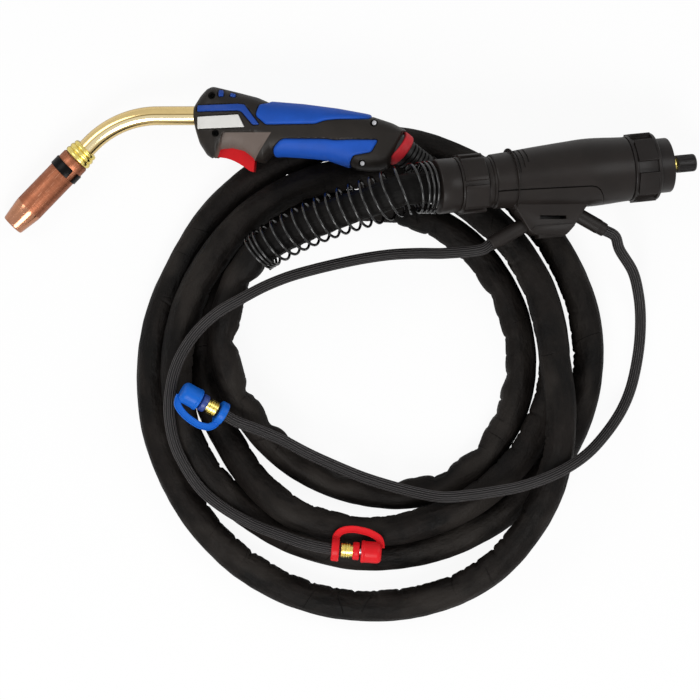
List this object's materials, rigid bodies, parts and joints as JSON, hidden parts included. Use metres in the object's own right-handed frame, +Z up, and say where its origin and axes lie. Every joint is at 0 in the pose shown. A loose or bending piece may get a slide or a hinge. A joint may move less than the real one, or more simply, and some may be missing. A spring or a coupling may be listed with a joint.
{
  "type": "water-cooled welding torch",
  "caption": "Water-cooled MIG/MAG welding torch with bent neck, sprung trigger, coiled hose package, round machine connector and capped water hoses.",
  "frame": {"origin": "floor point under the middle of the gun's own box (neck, handle and outlet, without hose and connector)", "axes": "+X from the neck end to the hose end of the handle, +Y towards the back of the hand grip, +Z up from the floor the torch lies on"},
  "size_m": [0.5715, 0.4407, 0.11],
  "materials": {
    "nozzle_copper": "brushed copper with dark heat marks",
    "tip_copper": "turned copper",
    "neck_brass": "satin brass tube",
    "collar_brass": "bright turned brass",
    "insulator": "fibre insulator",
    "black_steel": "gloss black",
    "handle_plastic": "fine grained moulding",
    "grip_blue": "soft satin grip",
    "stripe_blue": "satin",
    "label_white": "plain satin",
    "trigger_red": "satin red",
    "ring_red": "satin dull red",
    "black_plastic": "satin black",
    "screw_steel": "satin",
    "boot_rubber": "matte",
    "hose_jacket": "soft matte jacket with creases",
    "plug_plastic": "satin black-brown moulding",
    "block_brass": "turned brass",
    "water_rubber": "fine braided rubber",
    "ferrule_brass": "crimped brass",
    "nipple_steel": "plated",
    "cap_red": "soft gloss",
    "cap_blue": "soft gloss",
    "collar_navy": "soft gloss"
  },
  "bodies": {
    "torch": {"contact_tip": "tip_copper", "tip_holder": "neck_brass", "gas_diffuser": "insulator", "neck_collar": "collar_brass", "neck_tube": "neck_brass", "upper_shell": "handle_plastic", "lower_shell": "handle_plastic", "top_grip_upper": "grip_blue", "top_grip_lower": "grip_blue", "heel_grip_upper": "grip_blue", "heel_grip_lower": "grip_blue", "stripe_upper": "stripe_blue", "stripe_lower": "stripe_blue", "label_plate": "label_white", "hump_window_1": "stripe_blue", "hump_window_2": "stripe_blue", "trigger_pin": "screw_steel", "trigger_spring": "screw_steel", "micro_switch": "black_plastic", "shell_screw_1": "screw_steel", "shell_screw_2": "screw_steel", "shell_screw_3": "screw_steel", "shell_screw_4": "screw_steel", "outlet_ball": "black_plastic", "outlet_ring": "ring_red", "bend_boot": "boot_rubber", "main_hose": "hose_jacket", "support_spring": "black_steel", "spring_ferrule": "plug_plastic", "rear_sleeve": "plug_plastic", "plug_housing": "plug_plastic", "plug_cover": "plug_plastic", "relief_left": "boot_rubber", "relief_right": "boot_rubber", "plug_block": "block_brass", "inlet_stem": "block_brass", "stem_seal": "boot_rubber", "red_hose": "water_rubber", "red_ferrule": "ferrule_brass", "red_collar": "cap_red", "red_nipple": "nipple_steel", "red_strap": "cap_red", "blue_hose": "water_rubber", "blue_ferrule": "ferrule_brass", "blue_collar": "collar_navy", "blue_nipple": "nipple_steel", "blue_strap": "cap_blue"},
    "nozzle": {"gas_nozzle": "nozzle_copper", "nozzle_clip": "black_steel"},
    "trigger": {"trigger": "trigger_red"},
    "front_nut": {"front_nut": "black_plastic"},
    "ring_nut": {"ring_nut": "plug_plastic"},
    "contact_pin_1": {"contact_pin_1": "block_brass"},
    "contact_pin_2": {"contact_pin_2": "block_brass"},
    "stem_cap": {"stem_cap": "black_plastic"},
    "red_cap": {"red_cap": "cap_red"},
    "blue_cap": {"blue_cap": "cap_blue"}
  },
  "joints": [
    {"name": "trigger_press", "type": "hinge", "parent": "torch", "child": "trigger", "pos_m": [-0.00126, 0.00557, 0.03304], "axis": [-0.1323, 0, 0.9912], "range_deg": [0, 6], "stiffness_Nm_per_rad": 1.2, "springref_deg": -1.15, "deforming": ["trigger_spring"]},
    {"name": "nozzle_pull", "type": "slide", "parent": "torch", "child": "nozzle", "axis": [-0.6935, -0.7145, -0.0925], "range_m": [0, 0.078]},
    {"name": "front_nut_turn", "type": "hinge", "parent": "torch", "child": "front_nut", "pos_m": [0.3583, -0.00505, 0.02881], "axis": [0.9555, 0.0929, -0.2798], "continuous": true},
    {"name": "ring_nut_turn", "type": "hinge", "parent": "torch", "child": "ring_nut", "pos_m": [0.20637, -0.01981, 0.0733], "axis": [0.9555, 0.0929, -0.2798], "continuous": true},
    {"name": "contact_pin_1_press", "type": "slide", "parent": "torch", "child": "contact_pin_1", "axis": [-0.9555, -0.0929, 0.2798], "range_m": [0, 0.003], "stiffness_N_per_m": 800},
    {"name": "contact_pin_2_press", "type": "slide", "parent": "torch", "child": "contact_pin_2", "axis": [-0.9555, -0.0929, 0.2798], "range_m": [0, 0.003], "stiffness_N_per_m": 800},
    {"name": "stem_cap_pull", "type": "slide", "parent": "torch", "child": "stem_cap", "axis": [0.9555, 0.0929, -0.2798], "range_m": [0, 0.02]},
    {"name": "red_cap_pull", "type": "slide", "parent": "torch", "child": "red_cap", "axis": [0.9968, -0.0802, 0], "range_m": [0, 0.014], "deforming": ["red_strap"]},
    {"name": "blue_cap_pull", "type": "slide", "parent": "torch", "child": "blue_cap", "axis": [-0.8505, 0.4831, 0.2079], "range_m": [0, 0.014], "deforming": ["blue_strap"]}
  ]
}
